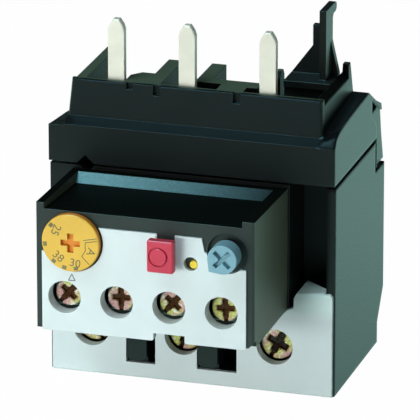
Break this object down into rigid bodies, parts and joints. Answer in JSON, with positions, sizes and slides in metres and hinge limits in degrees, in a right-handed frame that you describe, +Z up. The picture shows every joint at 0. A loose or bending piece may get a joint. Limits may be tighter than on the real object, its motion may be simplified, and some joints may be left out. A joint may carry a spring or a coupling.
{
  "type": "thermal overload relay",
  "caption": "Motor overload relay with flat contact blades and a latch hook on top, a dark housing, a pale terminal cover and a front control box with dial, buttons and screw terminals.",
  "frame": {"origin": "middle of the underside of the lower housing", "axes": "+X to the right across the three poles seen from the control panel, +Y from the panel to the rear, +Z up towards the contact blades"},
  "size_m": [0.06, 0.0661, 0.0763],
  "materials": {
    "black_moulding": "satin black thermoplastic",
    "dark_latch": "brown-black glass-filled thermoplastic",
    "grey_moulding": "light grey thermoplastic",
    "orange_dial": "yellow-orange thermoplastic",
    "red_button": "red thermoplastic",
    "blue_knob": "light blue thermoplastic",
    "yellow_flag": "yellow thermoplastic",
    "white_moulding": "natural white thermoplastic",
    "tinned_copper": "tinned copper",
    "copper_alloy": "brass strip",
    "chromated_steel": "yellow-chromated steel",
    "zinc_steel": "zinc-plated steel",
    "spring_steel": "bright spring steel",
    "resistance_wire": "oxidised resistance wire",
    "bimetal": "rolled thermostatic bimetal"
  },
  "bodies": {
    "housing": {"lower_housing": "black_moulding", "upper_housing": "black_moulding", "housing_screws": "zinc_steel", "latch_hook": "dark_latch", "terminal_cover": "grey_moulding", "main_terminal_screws": "chromated_steel", "control_box": "black_moulding", "front_panel": "grey_moulding", "aux_terminal_screws": "chromated_steel", "aux_clamp_plates": "zinc_steel", "off_button_spring": "spring_steel", "reset_spring": "spring_steel", "pivot_pin": "zinc_steel", "contact_blade_1": "tinned_copper", "bimetal_strip_1": "bimetal", "heater_winding_1": "resistance_wire", "terminal_bar_1": "copper_alloy", "terminal_clamp_1": "zinc_steel", "contact_blade_2": "tinned_copper", "bimetal_strip_2": "bimetal", "heater_winding_2": "resistance_wire", "terminal_bar_2": "copper_alloy", "terminal_clamp_2": "zinc_steel", "contact_blade_3": "tinned_copper", "bimetal_strip_3": "bimetal", "heater_winding_3": "resistance_wire", "terminal_bar_3": "copper_alloy", "terminal_clamp_3": "zinc_steel", "aux_contact_bar_1": "copper_alloy", "aux_contact_bar_2": "copper_alloy", "aux_contact_bar_3": "copper_alloy", "aux_contact_bar_4": "copper_alloy"},
    "dial": {"current_dial": "orange_dial", "dial_spindle": "white_moulding"},
    "off_button": {"test_off_button": "red_button"},
    "reset_plunger_body": {"reset_plunger": "blue_knob"},
    "reset_knob_body": {"reset_knob": "blue_knob"},
    "slider": {"trip_slider": "white_moulding"},
    "lever": {"transfer_lever": "bimetal"},
    "carrier": {"contact_carrier": "white_moulding", "trip_flag": "yellow_flag", "opening_bridge": "copper_alloy", "closing_bridge": "copper_alloy"}
  },
  "joints": [
    {"name": "dial_turn", "type": "hinge", "parent": "housing", "child": "dial", "pos_m": [-0.0176, -0.041, 0.0369], "axis": [0, 1, 0], "range_deg": [-105, 105]},
    {"name": "off_push", "type": "slide", "parent": "housing", "child": "off_button", "axis": [0, 1, 0], "range_m": [0, 0.0018], "stiffness_N_per_m": 800, "springref_m": -0.0008, "deforming": ["off_button_spring"]},
    {"name": "reset_push", "type": "slide", "parent": "housing", "child": "reset_plunger_body", "axis": [0, 1, 0], "range_m": [0, 0.0013], "stiffness_N_per_m": 800, "springref_m": -0.0008, "deforming": ["reset_spring"]},
    {"name": "reset_select", "type": "hinge", "parent": "reset_plunger_body", "child": "reset_knob_body", "pos_m": [0.0145, -0.042, 0.0375], "axis": [0, 1, 0], "range_deg": [0, 90]},
    {"name": "slider_travel", "type": "slide", "parent": "housing", "child": "slider", "axis": [1, 0, 0], "range_m": [0, 0.0012], "stiffness_N_per_m": 300, "springref_m": -0.0004},
    {"name": "lever_swing", "type": "hinge", "parent": "housing", "child": "lever", "pos_m": [-0.0024, -0.0199, 0.028], "axis": [0, 0, 1], "range_deg": [0, 11.5]},
    {"name": "carrier_shift", "type": "slide", "parent": "housing", "child": "carrier", "axis": [0, -1, 0], "range_m": [0, 0.0015]}
  ],
  "couplings": [
    {"joint": "lever_swing", "follows": "slider_travel", "rad_per_m": 166.67},
    {"joint": "carrier_shift", "follows": "slider_travel", "ratio": 1.25}
  ]
}
